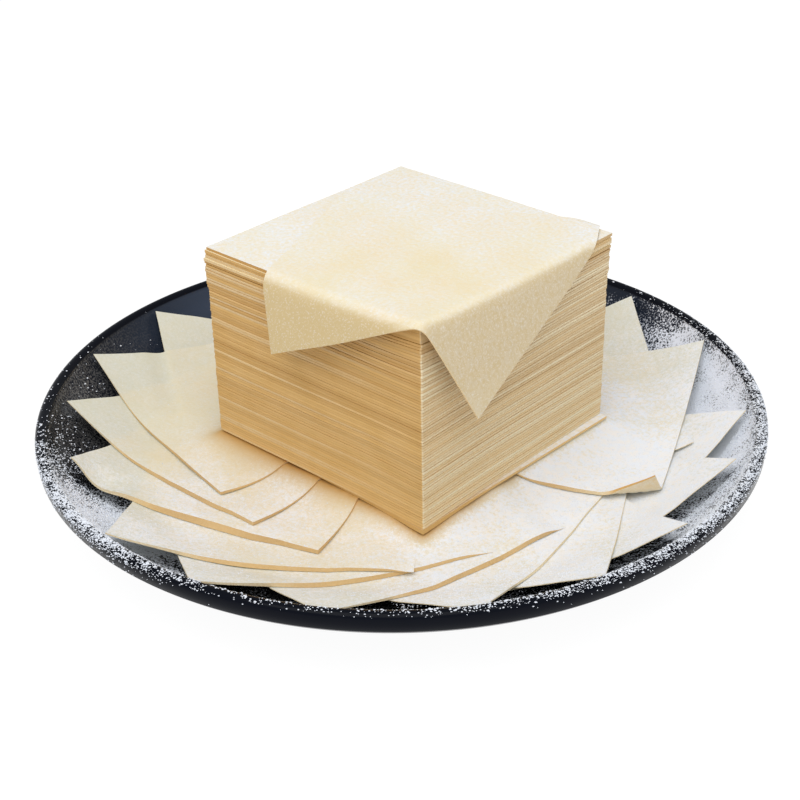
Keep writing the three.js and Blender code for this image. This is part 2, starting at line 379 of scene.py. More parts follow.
def add_mesh(name, points, faces, materials, body="root"):
    """A smooth piece with sharp cut edges, from points in millimetres."""
    mesh = bpy.data.meshes.new(name)
    mesh.from_pydata(np.asarray(points) * MM, [], faces)
    for material in materials:
        mesh.materials.append(material)
    mesh.polygons.foreach_set("use_smooth", np.ones(len(mesh.polygons), bool))
    mesh.set_sharp_from_angle(angle=math.radians(CRISP_ANGLE))
    mesh.update()
    piece = bpy.data.objects.new(name, mesh)
    bpy.context.scene.collection.objects.link(piece)
    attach(piece, body)
    return piece


def add_values(piece, **columns):
    """Named numbers on a piece's points, which its materials read."""
    for name, values in columns.items():
        layer = piece.data.attributes.new(name, "FLOAT", "POINT")
        layer.data.foreach_set("value", np.asarray(values, np.float32).ravel())


def sheet_faces(rows, columns):
    """The faces of a closed sheet with an upper and a lower grid of points, and which are its cut edge."""
    index = np.arange(rows * columns).reshape(rows, columns)
    corners = [index[:-1, :-1], index[:-1, 1:], index[1:, 1:], index[1:, :-1]]
    upper = np.stack(corners, -1).reshape(-1, 4)
    lower = upper[:, ::-1] + rows * columns
    rim = np.concatenate([index[0, :-1], index[:-1, -1], index[-1, :0:-1], index[:0:-1, 0]])
    after = np.roll(rim, -1)
    wall = np.stack([rim, rim + rows * columns, after + rows * columns, after], -1)
    faces = np.concatenate([upper, lower, wall])
    is_wall = np.arange(len(faces)) >= 2 * len(upper)
    return faces, is_wall


def add_sheet(name, upper, lower, values):
    """A thin wrapper from its two faces, with named numbers given for the upper face's points.

    The lower face has the same numbers, but little flour.
    """
    faces, is_wall = sheet_faces(*upper.shape[:2])
    points = np.concatenate([upper.reshape(-1, 3), lower.reshape(-1, 3)])
    piece = add_mesh(name, points, faces, [dough_face, dough_edge])
    piece.data.polygons.foreach_set("material_index", is_wall.astype(np.int32))
    for key in SHEET_VALUES:
        upper_value = np.ravel(values.get(key, 0.0) + np.zeros(upper.shape[:2]))
        lower_value = upper_value * (UNDERSIDE_FLOUR if key in ("dust", "fleck") else 1.0)
        add_values(piece, **{key: np.concatenate([upper_value, lower_value])})
    return piece


def turned_faces(rows, count, first=0):
    """The faces of a closed solid from rings of points, the lowest first.

    The middle points of its bottom and its top come after the rings.
    """
    ring = first + np.arange(rows * count).reshape(rows, count)
    after = np.roll(ring, -1, 1)
    bottom, top = first + rows * count, first + rows * count + 1
    faces = np.stack([ring[:-1], after[:-1], after[1:], ring[1:]], -1).reshape(-1, 4).tolist()
    faces += [(bottom, b, a) for a, b in zip(ring[0], after[0])]
    faces += [(top, a, b) for a, b in zip(ring[-1], after[-1])]
    return faces


def uprights(surface):
    """The unit upright at each point of a grid of points."""
    upright = np.cross(np.gradient(surface, axis=1), np.gradient(surface, axis=0))
    return upright / np.linalg.norm(upright, axis=-1, keepdims=True)


def bend_over(length, bend):
    """How far a strip reaches out and down once it has bent over an edge."""
    angle = math.radians(bend["angle"])
    turned = np.minimum(np.maximum(length, 0) / bend["radius"], angle)
    straight = np.maximum(length - bend["radius"] * angle, 0)
    out = bend["radius"] * np.sin(turned) + straight * math.cos(angle)
    down = bend["radius"] * (1 - np.cos(turned)) + straight * math.sin(angle)
    return out, down


def side_line(half, count):
    """Places along a side from its middle, closer together by its two ends."""
    return np.concatenate([[-1, -0.985], np.linspace(-0.95, 0.95, count), [0.985, 1]]) * half


def square_grid(count):
    """A wrapper's own flat grid, from its middle."""
    line = side_line(HALF, count)
    return np.meshgrid(line, line)


# Materials

def new_material(name):
    """A material with its node tree and its shader."""
    material = bpy.data.materials.new(name)
    material.use_nodes = True
    return material, material.node_tree, material.node_tree.nodes["Principled BSDF"]


def add_node(tree, kind, inputs=None, **settings):
    """A node with its settings and its inputs. An input that is a socket is linked."""
    made = tree.nodes.new(kind)
    for key, value in settings.items():
        setattr(made, key, value)
    for key, value in (inputs or {}).items():
        if isinstance(value, bpy.types.NodeSocket):
            tree.links.new(value, made.inputs[key])
        else:
            made.inputs[key].default_value = value
    return made


def place(tree):
    """Where a point is in its object's own axes."""
    return add_node(tree, "ShaderNodeTexCoord").outputs["Object"]


def noise(tree, per_metre, detail=3.0, stretch=None):
    """A noise texture fixed to the object, with a stretch along each axis if wanted."""
    where = place(tree)
    if stretch:
        where = add_node(tree, "ShaderNodeMapping", {"Vector": where, "Scale": stretch}).outputs[0]
    inputs = {"Vector": where, "Scale": per_metre, "Detail": detail}
    return add_node(tree, "ShaderNodeTexNoise", inputs).outputs["Fac"]


def ramp(tree, value, low, high, to_low=0.0, to_high=1.0):
    """A value taken from one range to another, and kept inside it."""
    inputs = {"Value": value, 1: low, 2: high, 3: to_low, 4: to_high}
    return add_node(tree, "ShaderNodeMapRange", inputs).outputs[0]


def column(tree, name):
    """A named number of the piece's points."""
    return add_node(tree, "ShaderNodeAttribute", attribute_name=name).outputs["Fac"]


def sums(tree, operation, a, b):
    """Two values added or multiplied, and kept from 0 to 1."""
    return add_node(tree, "ShaderNodeMath", {0: a, 1: b}, operation=operation, use_clamp=True).outputs[0]


def mix(tree, share, a, b):
    """One colour taken toward another by a share."""
    made = add_node(tree, "ShaderNodeMix", data_type="RGBA", blend_type="MIX")
    for key, value in (("Factor", share), ("A", a), ("B", b)):
        socket = next(s for s in made.inputs if s.name == key and s.enabled)
        if isinstance(value, bpy.types.NodeSocket):
            tree.links.new(value, socket)
        elif isinstance(value, tuple):
            socket.default_value = (*value, 1)
        else:
            socket.default_value = value
    return next(s for s in made.outputs if s.enabled)


def add_bump(tree, shader, height, strength, depth_mm):
    """Fine relief on a shader, from a height between 0 and 1."""
    inputs = {"Height": height, "Strength": strength, "Distance": depth_mm * MM}
    made = add_node(tree, "ShaderNodeBump", inputs)
    tree.links.new(made.outputs["Normal"], shader.inputs["Normal"])


def make_dough_face():
    """A wrapper's face: pale dough, greyer where one layer lies over the dark plate, with a flap's painted
    shade and the stack's painted golden light and shade, under patchy flour.
    """
    material, tree, shader = new_material("dough_face")
    blotch = noise(tree, 55, 5)
    speckle = noise(tree, 800, 3)
    grain = noise(tree, 2400, 1)
    fibre = noise(tree, 240, 3, (1, 6, 1))
    patchy = mix(tree, ramp(tree, blotch, 0.35, 0.65), BARE_DOUGH, RICH_DOUGH)
    streaked = mix(tree, ramp(tree, fibre, 0.45, 0.75, 0, 0.2), patchy, PALE_DOUGH)
    thin = mix(tree, column(tree, "thin"), streaked, THIN_DOUGH)
    shaded = mix(tree, column(tree, "shade"), thin, FLAP_DOUGH)
    # Painted golden light and shade by the stack, and painted warm shade under the curled corner
    warm_shaded = mix(tree, column(tree, "painted_warm_shade"), shaded, WARM_SHADE_DOUGH)
    white = mix(tree, ramp(tree, noise(tree, 380, 4), 0.38, 0.62), FLOUR, WARM_FLOUR)
    spread = sums(tree, "MULTIPLY", column(tree, "dust"), ramp(tree, speckle, 0.3, 0.7, 0.5, 1.5))
    flecks = sums(tree, "MULTIPLY", column(tree, "fleck"), ramp(tree, noise(tree, 2000, 2), 0.54, 0.68))
    dusted = mix(tree, sums(tree, "ADD", spread, flecks), warm_shaded, white)
    tree.links.new(dusted, shader.inputs["Base Color"])
    tree.links.new(ramp(tree, speckle, 0.3, 0.7, 0.78, 0.95), shader.inputs["Roughness"])
    shader.inputs["Specular IOR Level"].default_value = 0.2
    add_bump(tree, shader, sums(tree, "ADD", speckle, grain), 0.35, 0.12)
    return material


def make_dough_edge():
    """A wrapper's cut edge: golden brown dough, darker and paler by layer, the darker partly painted shade.
    """
    material, tree, shader = new_material("dough_edge")
    blotch = noise(tree, 90, 3)
    grain = noise(tree, 1500, 2)
    golden = mix(tree, ramp(tree, blotch, 0.35, 0.65), CUT_DOUGH, CUT_LIGHT)
    # Darker by tone, by the lines between layers and by painted shade
    toned = mix(tree, column(tree, "tone"), golden, CUT_DARK_AND_SHADE)
    spread = sums(tree, "MULTIPLY", column(tree, "rim"), ramp(tree, grain, 0.3, 0.7, 0.75, 1.25))
    dusted = mix(tree, spread, toned, CUT_PALE)
    tree.links.new(dusted, shader.inputs["Base Color"])
    tree.links.new(ramp(tree, grain, 0.3, 0.7, 0.7, 0.9), shader.inputs["Roughness"])
    shader.inputs["Specular IOR Level"].default_value = 0.2
    add_bump(tree, shader, grain, 0.15, 0.1)
    return material


def make_glaze():
    """The plate's black glaze, bluer at the back by a painted sky reflection, hazy at left and front, under
    a film of flour.
    """
    material, tree, shader = new_material("black_glaze")
    cloud = noise(tree, 40, 3)
    powder = noise(tree, 1500, 3)
    drift = noise(tree, 130, 3)
    # Painted reflection of the sky, bluer at the back
    blued = mix(tree, column(tree, "blue"), GLAZE, SKY_REFLECTION_GLAZE)
    haze = sums(tree, "MULTIPLY", column(tree, "haze"), ramp(tree, powder, 0.42, 0.62))
    tinted = mix(tree, haze, blued, HAZY_GLAZE)
    thick = ramp(tree, column(tree, "dust"), 0, 1, -1.7, 1.7)
    drifted = ramp(tree, drift, 0.3, 0.7, -0.7, 0.7)
    uneven = add_node(tree, "ShaderNodeMath", {0: thick, 1: drifted}).outputs[0]
    film = sums(tree, "ADD", uneven, ramp(tree, powder, 0.38, 0.62, -0.9, 0.9))
    filmed = mix(tree, film, tinted, FLOUR_FILM)
    tree.links.new(filmed, shader.inputs["Base Color"])
    gloss = sums(tree, "ADD", ramp(tree, cloud, 0.3, 0.7, 0.12, 0.22), film)
    tree.links.new(gloss, shader.inputs["Roughness"])
    shine = ramp(tree, column(tree, "inner"), 0, 1, 0.06, 0.13)
    tree.links.new(shine, shader.inputs["Specular IOR Level"])
    add_bump(tree, shader, cloud, 0.05, 0.3)
    return material


def make_flour():
    """White grains, a little greyer in places."""
    material, tree, shader = new_material("flour")
    grain = noise(tree, 1800, 2)
    white = mix(tree, ramp(tree, grain, 0.3, 0.7), FLOUR_SHADE, FLOUR)
    tree.links.new(white, shader.inputs["Base Color"])
    shader.inputs["Roughness"].default_value = 0.95
    shader.inputs["Specular IOR Level"].default_value = 0.1
    return material


dough_face = make_dough_face()
dough_edge = make_dough_edge()
black_glaze = make_glaze()
flour_white = make_flour()


# The plate

def curve_through(points, per_span):
    """A smooth line through a few points."""
    knots = np.array([points[0], *points, points[-1]], float)
    share = np.linspace(0, 1, per_span, endpoint=False)[:, None]
    spans = []
    for before, start, end, after in zip(knots, knots[1:], knots[2:], knots[3:]):
        leave, arrive = (end - before) / 2, (after - start) / 2
        square, cube = share ** 2, share ** 3
        spans.append((2 * cube - 3 * square + 1) * start + (cube - 2 * square + share) * leave
                     + (3 * square - 2 * cube) * end + (cube - square) * arrive)
    return np.concatenate([*spans, knots[-1:]])


def hills(azimuth, *shapes):
    """A sum of smooth hills round the plate, each with its direction, width and height."""
    total = sum(height * bump(turn_gap(azimuth, way), 0, width) for way, width, height in shapes)
    return np.clip(total, 0, 1)


lip_angles = np.radians(np.linspace(0, 180, 15))
lip_ring = np.stack([PLATE_RADIUS - LIP_RADIUS + LIP_RADIUS * np.cos(lip_angles),
                     RIM_HEIGHT - LIP_RADIUS + LIP_RADIUS * np.sin(lip_angles)], -1)
well_line = curve_through([tuple(lip_ring[-1]), *WELL], 10)
plate_line = np.concatenate([lip_ring[:-1], well_line])[::-1]


def plate_height(radius):
    """The height of the plate's inner surface and lip."""
    return np.interp(radius, plate_line[:, 0], plate_line[:, 1])


def add_plate():
    """The plate, turned from its profile."""
    foot_inner = FOOT_RADIUS - FOOT_WIDTH
    foot = [(0, FOOT_DEPTH), (foot_inner - 1, FOOT_DEPTH), (foot_inner - 0.3, 0.3), (foot_inner + 0.4, 0),
            (FOOT_RADIUS - 0.4, 0), (FOOT_RADIUS + 0.3, 0.4)]
    profile = np.concatenate([foot, curve_through(UNDERSIDE, 8)[:-1], lip_ring[:-1], well_line])[1:-1]
    angles = np.arange(PLATE_SEGMENTS) * 2 * math.pi / PLATE_SEGMENTS
    radius, height = profile[:, :1], profile[:, 1:]
    ring = np.stack([radius * np.cos(angles), radius * np.sin(angles), height + 0 * angles], -1)
    poles = [(0, 0, FOOT_DEPTH), (0, 0, WELL_HEIGHT)]
    points = np.concatenate([ring.reshape(-1, 3), poles])
    piece = add_mesh("plate_body", points, turned_faces(len(profile), PLATE_SEGMENTS), [black_glaze])
    azimuth = np.degrees(np.arctan2(points[:, 1], points[:, 0]))
    reach = np.hypot(points[:, 0], points[:, 1])
    inner = np.arange(len(points)) >= (len(profile) - len(well_line)) * PLATE_SEGMENTS
    spread = smoothstep(reach, *FILM_GROWS) * (1 - 0.3 * smoothstep(reach, *FILM_THINS))
    film = hills(azimuth, *FILM_HILLS) * inner * spread
    # Where the painted sky reflection lies on the inner glaze
    blue = hills(azimuth, *SKY_REFLECTION_HILLS) * inner
    haze = hills(azimuth, *HAZE_HILLS) * inner
    add_values(piece, dust=film, blue=blue, haze=haze, inner=inner)
    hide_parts("plate")


# The fan

fan = []
for azimuth, reach, twist in zip(FAN_AZIMUTHS, FAN_REACHES, FAN_TWISTS):
    outward = math.radians(azimuth + twist)
    centre_x = reach * math.cos(math.radians(azimuth)) - HALF * math.sqrt(2) * math.cos(outward)
    centre_y = reach * math.sin(math.radians(azimuth)) - HALF * math.sqrt(2) * math.sin(outward)
    fan.append((centre_x, centre_y, azimuth + twist - 45))
base_place = (STACK_X + BASE_SHIFT, STACK_Y + BASE_BACK, BASE_TURN)


def in_wrapper(wrapper, x, y):
    """A point of the plan in a wrapper's own axes."""
    return rotate(x - wrapper[0], y - wrapper[1], -wrapper[2])


def outside(wrapper, x, y):
    """How far a point lies outside a wrapper's square; negative inside."""
    across, along = in_wrapper(wrapper, x, y)
    return np.maximum(np.abs(across), np.abs(along)) - HALF


def coverage(wrapper, x, y, margin, width):
    """1 inside a wrapper's square and its margin, falling to 0 over a width round it."""
    return np.clip(1 - (outside(wrapper, x, y) - margin) / width, 0, 1)


def fan_climb(radius):
    """How far the fan has climbed the plate's wall."""
    past = radius - FAN_CLIMB_RADIUS
    return FAN_CLIMB_SLOPE * 0.5 * (past + np.hypot(past, FAN_CLIMB_SOFTNESS))


def from_stack(x, y):
    """How far a point of the plan lies outside the stack."""
    return np.hypot(np.maximum(np.abs(x - STACK_X) - HALF, 0), np.maximum(np.abs(y - STACK_Y) - HALF, 0))


def corner_droop(x, y):
    """How far the stack's front corner hangs down at its foot, with the fan under it."""
    return CORNER_DROOP * bump(np.hypot(x - STACK_X - HALF, y - STACK_Y + HALF), 0, CORNER_DROOP_REACH)


def fan_top(x, y):
    """The fan's upper surface: level under the stack, sagging round it, then climbing the plate's wall.

    It climbs less at the front.
    """
    radius, azimuth = np.hypot(x, y), np.degrees(np.arctan2(y, x))
    sag = FAN_SAG * (1 - np.exp(-from_stack(x, y) / FAN_SAG_LENGTH))
    droop = FAN_DROOP * smoothstep(radius, *FAN_DROOP_RADII) * hills(azimuth, DROOP_HILL)
    return STACK_BASE - FAN_CLEARANCE - sag + fan_climb(radius) - droop - corner_droop(x, y)


def fan_cover(index, x, y, margin, width):
    """How fully anything above a fan wrapper covers a point."""
    over = [coverage(wrapper, x, y, margin, width) for wrapper in [*fan[index + 1:], base_place]]
    return np.max(over, 0)


fan_ripples = [wave_field(4, 22, 60) for _ in fan]


def fan_flush(index, x, y):
    """How far a point lies into the part of a fan wrapper that thins out, from 0 to 1."""
    if index not in FLUSH_WRAPPERS:
        return 0 * x
    across, _ = in_wrapper(fan[index], x, y)
    return smoothstep(-across, HALF - FLUSH_WIDTH, HALF)


def fan_lift(index, x, y):
    """How far a fan wrapper's free edge raises itself and what lies on it."""
    across, along = in_wrapper(fan[index], x, y)
    free_side = -along if index == CURLED else along
    along_edge = bump((HALF - across) / WRAPPER_SIDE, FAN_LIFT_PLACES[index], FAN_LIFT_WIDTH)
    by_edge = bump(HALF - free_side, 0, FAN_LIFT_REACH)
    thick = 1 - fan_flush(index, x, y)
    free = smoothstep(from_stack(x, y), 0, FAN_LIFT_GROWTH)
    return FAN_LIFTS[index] * along_edge * by_edge * thick * free


def fan_dip(index, x, y):
    """How far a fan wrapper dips beside the edge of one under it, less and less toward the stack."""
    if index != DIPPING:
        return 0 * x
    past_edge = outside(fan[UNDER_DIP], x, y)
    beside = smoothstep(past_edge, *DIP_BEGINS) * (1 - smoothstep(past_edge, *DIP_ENDS))
    return DIP_DEPTH * beside * smoothstep(np.hypot(x, y), *DIP_RADII)


def fan_height(index, x, y):
    """A fan wrapper's upper face: one step lower for each wrapper over it, rippled, with raised edges."""
    over = sum(coverage(wrapper, x, y, FAN_MARGIN, FAN_RAMP) for wrapper in fan[index + 1:])
    ripple = FAN_RIPPLE * (1 + fan_ripples[index](x, y)) * (1 - fan_cover(index, x, y, 3, 16))
    raised = sum(fan_lift(lower, x, y) for lower in range(index + 1))
    lowered = FAN_PITCH * over + FLUSH_DROP * fan_flush(index, x, y) + fan_dip(index, x, y)
    return fan_top(x, y) + ripple + raised - lowered


def glow_reach(azimuth):
    """How far the stack's painted golden light and shade reaches over the fan: farthest on the left."""
    return GLOW_REACH * (0.4 + hills(azimuth, GLOW_HILL))


def fan_dust(x, y):
    """How floured the fan is: most on the right, some at the front and left, and less beside the stack,
    where the painted golden light and shade shows.
    """
    azimuth = np.degrees(np.arctan2(y, x))
    spread = LEAST_FAN_DUST + hills(azimuth, *FAN_DUST_HILLS)
    return spread * smoothstep(from_stack(x, y) / glow_reach(azimuth), -0.2, 2.5)


def stack_glow_and_shade(x, y):
    """How much of the stack's painted golden light and shade lies on the fan beside it."""
    azimuth = np.degrees(np.arctan2(y, x))
    return (1 - hills(azimuth, WEAKER_GLOW_HILL)) * np.exp(-from_stack(x, y) / glow_reach(azimuth))


def past_fold(across, along):
    """How far a point of the curled wrapper lies past its fold, and the fold's direction."""
    way = np.array([CURL_SHORT, -CURL_LONG]) / math.hypot(CURL_SHORT, CURL_LONG)
    return (across - HALF + CURL_LONG) * way[0] + (along + HALF) * way[1], way


def curled(across, along):
    """A wrapper's own points with one corner curled up, and how far that raises them."""
    past, way = past_fold(across, along)
    out, up = bend_over(past, CURL_BEND)
    back = np.where(past > 0, out - past, 0)
    return across + way[0] * back, along + way[1] * back, up


def leaning(across, along):
    """A wrapper's own points with its outer corner pulled in, and how far that raises or lowers them."""
    corner = bump(np.hypot(HALF - across, HALF - along), 0, LEAN_REACH)
    along_side = bump((HALF - across) / WRAPPER_SIDE, HANG_PLACE, HANG_WIDTH)
    hanging = along_side * bump(HALF - along, 0, HANG_REACH)
    raised = LEAN_RISE * corner - HANG_DEPTH * hanging
    return across - LEAN_PULL * corner, along - LEAN_PULL * corner, raised


dust_patches = wave_field(9, 7, 40)


def add_fan():
    """The fan's wrappers, from the lowest to the highest."""
    for index, wrapper in enumerate(fan):
        across, along = square_grid(FAN_CELLS)
        from_outer = (HALF - across) / WRAPPER_SIDE
        raised, in_curl = 0 * across, 0 * across
        tuck = FAN_TUCKS.get(index, 0) * ((HALF + across) * (HALF - along) / WRAPPER_SIDE ** 2) ** 4
        across, along = across - tuck, along + tuck
        if index == LEANING:
            across, along, raised = leaning(across, along)
        if index == CURLED:
            across, along, raised = curled(across, along)
            in_curl = smoothstep(raised, 0, 1.5)
        x, y = rotate(across, along, wrapper[2])
        x, y = x + wrapper[0], y + wrapper[1]
        upper = np.stack([x, y, fan_height(index, x, y) + raised], -1)
        taper = FAN_TIP_SHARE + (1 - FAN_TIP_SHARE) * smoothstep(from_outer, 0, 0.5)
        thickness = (SHEET * taper + 0.95 * fan_lift(index, x, y)) * (1 - 0.9 * fan_flush(index, x, y))
        beneath = sum((smoothstep(-outside(other, x, y), -0.8, 0.8) for other in fan[:index]), 0 * x)
        dust = fan_dust(x, y) * (1 + 0.22 * dust_patches(x, y))
        pale_edge = 0.85 * np.maximum(1 - smoothstep(from_outer, 0.1, 0.5), index in FLOURED_WRAPPERS)
        values = {
            "dust": dust,
            "fleck": 0.9 * dust,
            "thin": (0.25 + 0.5 * 0.55 ** beneath) * (1 - in_curl),
            # The stack's painted golden light and shade, and painted warm shade under the curled corner
            "painted_warm_shade": np.maximum(stack_glow_and_shade(x, y), 0.3 * in_curl),
            "rim": np.maximum(pale_edge, FAN_EDGE_PALE) * (1 - in_curl),
            # Painted shade on the cut edges
            "tone": FAN_EDGE_SHADE_PAINT * (1 + 0.3 * dust_patches(x, y)),
        }
        number = f"{index + 1:02d}"
        lower = upper - uprights(upper) * thickness[..., None]
        piece = add_sheet(f"fan_sheet_{number}", upper, lower, values)
        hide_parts(f"fan_wrapper_{number}")


# The stack

def add_base():
    """The lowest wrapper of the stack, floured where it sticks out on the right."""
    across, along = square_grid(BASE_CELLS)
    x, y = rotate(across, along, BASE_TURN)
    x, y = x + base_place[0], y + base_place[1]
    droop = corner_droop(x, y)
    lower = np.stack([x, y, STACK_BASE - droop], -1)
    upper = np.stack([x, y, BLOCK_BOTTOM - LAYER_GAP - FOOT_SHARE * droop], -1)
    on_right = smoothstep(x - STACK_X, HALF - 6, HALF) * smoothstep(y - STACK_Y, -45, 35)
    values = {
        "dust": 0.1 + 0.8 * on_right,
        # Painted golden light and shade at the stack's foot, on the left
        "painted_warm_shade": 0.8 - 0.8 * on_right,
        "tone": 0.35 * (1 - on_right),
        "rim": 0.2 * on_right,
    }
    piece = add_sheet("base_sheet", upper, lower, values)
    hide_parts("base_wrapper")


def front_corner(x, y):
    """A hill over the stack's front corner, where the wrappers stand up a little."""
    return np.exp(-np.hypot(x - STACK_X - HALF, y - STACK_Y + HALF) / CORNER_RISE_REACH)


def off_corner(x, y):
    """0 at the stack's front corner, where the pale lines fade, and 1 far from it."""
    return (1 - front_corner(x, y)) ** 2


def outline(half, wobble):
    """A wrapper's outline from its middle: a square with small round corners and slightly uneven sides."""
    line = side_line(half - CORNER_RADIUS, STACK_CELLS)
    arc = np.radians(np.linspace(-90, 0, 5))[1:-1]
    side_x = np.concatenate([line, half - CORNER_RADIUS * (1 - np.cos(arc))])
    side_y = np.concatenate([0 * line - half, CORNER_RADIUS * (1 + np.sin(arc)) - half])
    sides = [rotate(side_x, side_y, quarter * 90) for quarter in range(4)]
    x = np.concatenate([side[0] for side in sides])
    y = np.concatenate([side[1] for side in sides])
    grow = 1 + wobble(x, y) / half
    return x * grow, y * grow


def on_right_side(x):
    """1 on the stack's right side and 0 on the others."""
    return smoothstep(x, HALF - CORNER_RADIUS, HALF)


def face_flour_and_highlight(x, y):
    """How floured each side of the stack is, the right side most, with a painted highlight down its upright
    edges.
    """
    right = on_right_side(x)
    left = smoothstep(-y, HALF - CORNER_RADIUS, HALF)
    # A painted highlight down the upright edges
    upright = smoothstep(np.minimum(np.abs(x), np.abs(y)), HALF - CORNER_RADIUS, HALF - 0.3 * CORNER_RADIUS)
    back = 1 - np.maximum(right, left)
    return RIGHT_FLOUR * right + LEFT_FLOUR * left + BACK_FLOUR * back + UPRIGHT_HIGHLIGHT_PAINT * upright


def line_tone(x, y):
    """How dark the line between two layers is: darker by the front corner, darkest on the right side."""
    right = on_right_side(x)
    return END_TONE * (1 + 1.4 * right + 0.9 * (1 - right) * front_corner(x + STACK_X, y + STACK_Y))


def far_shade(x, y):
    """Painted shade: how much darker the right side is toward its far end, in the right flap's shadow."""
    return FAR_SHADE_PAINT * on_right_side(x) * smoothstep(y, -10, HALF)


def layer_levels(x, y):
    """The heights between the stack's layers all round its outline, uneven as pressed dough is."""
    drift = np.cumsum([LAYER_DRIFT * wave_field(3, 35, 130)(x, y) for _ in range(BLOCK_LAYERS + 1)], 0)
    share = np.linspace(0, 1, BLOCK_LAYERS + 1)[:, None]
    level = BLOCK_BOTTOM + share * (BLOCK_TOP - BLOCK_BOTTOM) + drift - share * drift[-1:]
    rise = CORNER_RISE * share ** 4 * front_corner(x + STACK_X, y + STACK_Y)
    return level + rise - FOOT_SHARE * (1 - share) ** 4 * corner_droop(x + STACK_X, y + STACK_Y)


def layer_look(layers_down):
    """A layer's dark and pale share by how far down the stack it is, with painted shadow under the overhang.
    """
    from_bottom = 1 - layers_down / (BLOCK_LAYERS + LOOSE_LAYERS)
    # Random tone, darker toward the top, partly painted shade from the draped flap
    tone = max(0, TOP_TONE_AND_SHADE * from_bottom + LAYER_TONE * np.clip(random.normal(0.5, 1), -1.5, 2))
    picked = random.random() < LOW_PALE_SHARE
    # Painted shadow under the looser part's overhang
    if layers_down in OVERHANG_SHADOW_LAYERS:
        return tone + OVERHANG_SHADOW_TONE, 0.0
    if layers_down in PALE_LAYERS:
        return tone, PALE_LINE
    return tone, LOW_PALE_LINE if picked and layers_down > BANDED_LAYERS else 0.0


def stack_layer(layer, flat, bottom, top):
    """A pressed wrapper: its rings of points, two middle points, and each point's dark and pale share."""
    layers_down = BLOCK_LAYERS + LOOSE_LAYERS - layer
    loose = smoothstep(layer, BLOCK_LAYERS - SPREAD_LAYERS - 1, BLOCK_LAYERS - SPREAD_LAYERS + 1)
    low = 1 - smoothstep(layer, *LOW_LAYERS)
    shift = random.uniform(-1, 1, 2) * (LAYER_SHIFT + LOOSE_SHIFT * loose)
    shift = shift + SPREAD * loose * np.array([-1, 1])
    uneven = wave_field(3, 30, 90)
    half = HALF + random.uniform(-LAYER_WOBBLE, LAYER_WOBBLE) + SPREAD * loose
    x, y = outline(half, lambda a, b: LAYER_WOBBLE * uneven(a, b))
    tone, pale = layer_look(layers_down)
    groove = random.uniform(*GROOVE_DEPTHS)
    by_height = TOP_FLOUR if layers_down < SPREAD_LAYERS else 1 + FOOT_FLOUR * low
    floured = random.uniform(*LAYER_FLOUR) * by_height
    stripe = STRIPE * (layers_down in CORNER_STRIPES)
    thin_line = THIN_LINE * random.random() ** 2
    on_right = on_right_side(flat[0])
    plan = (flat[0] + STACK_X, flat[1] + STACK_Y)
    points, tones, rims = [], [], []
    for rise in LAYER_RISES:
        end = abs(2 * rise - 1)
        shrink = 1 - groove * end ** 3 / HALF
        ring_x, ring_y = STACK_X + shift[0] + x * shrink, STACK_Y + shift[1] + y * shrink
        points.append(np.stack([ring_x, ring_y, bottom + rise * (top - bottom)], -1))
        lined = line_tone(*flat) * end ** 6 * (1 - 1.5 * pale)
        # Random tone with painted shade toward the top, under the overhang and at the right side's far end,
        # and the dark line between layers
        tones.append(tone * (1 - low * on_right) + lined + far_shade(*flat) * (1 - 0.9 * low))
        by_corner = pale * off_corner(*plan) + stripe * on_right * front_corner(*plan)
        lines = by_corner + thin_line * (rise > 0.8)
        rims.append((face_flour_and_highlight(*flat) * floured + lines) * (1 - 0.6 * end ** 6))
    points.append([(STACK_X, STACK_Y, bottom.mean()), (STACK_X, STACK_Y, top.mean())])
    tones.append([tone, tone])
    rims.append([0, 0])
    return np.concatenate(points), np.concatenate(tones), np.concatenate(rims)


def add_stack():
    """The pressed wrappers, each one its own sheet, joined as one piece."""
    flat = outline(HALF, lambda x, y: 0 * x)
    levels = layer_levels(*flat)
    points, tones, rims, faces = [], [], [], []
    for layer in range(BLOCK_LAYERS):
        bottom, top = levels[layer], levels[layer + 1] - LAYER_GAP
        layer_points, layer_tones, layer_rims = stack_layer(layer, flat, bottom, top)
        faces += turned_faces(len(LAYER_RISES), len(bottom), layer * len(layer_points))
        points.append(layer_points)
        tones.append(layer_tones)
        rims.append(layer_rims)
    piece = add_mesh("stack_sheets", np.concatenate(points), faces, [dough_edge])
    add_values(piece, tone=np.concatenate(tones), rim=np.concatenate(rims))
    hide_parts("wrapper_stack")


